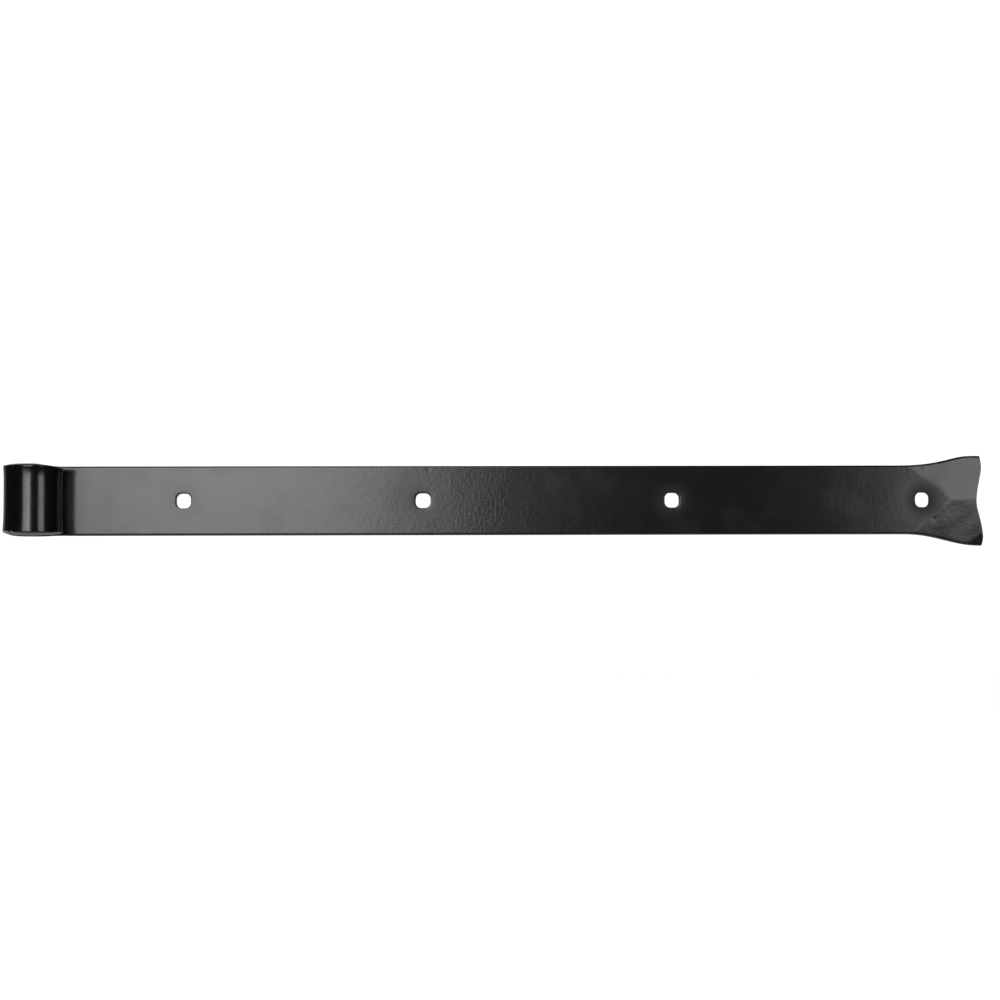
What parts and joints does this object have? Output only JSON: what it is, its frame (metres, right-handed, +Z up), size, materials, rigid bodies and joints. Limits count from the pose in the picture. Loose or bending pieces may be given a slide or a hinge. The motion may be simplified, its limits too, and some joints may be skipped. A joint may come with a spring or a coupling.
{
  "type": "strap hinge leaf",
  "caption": "Flat steel hinge strap with a rolled eye at one end, square bolt holes along it and a forged fishtail tip, black powder coated.",
  "frame": {"origin": "centre of the eye's bore, halfway along it", "axes": "+Z up along the pin axis, +X along the strap towards the fishtail, -Y out of the front face, +Y into the door"},
  "size_m": [0.4945, 0.03, 0.0458],
  "materials": {
    "black_powder_coat": "semi-gloss black powder coat on mild steel, fine orange peel"
  },
  "bodies": {
    "root": {"strap": "black_powder_coat"}
  },
  "joints": []
}
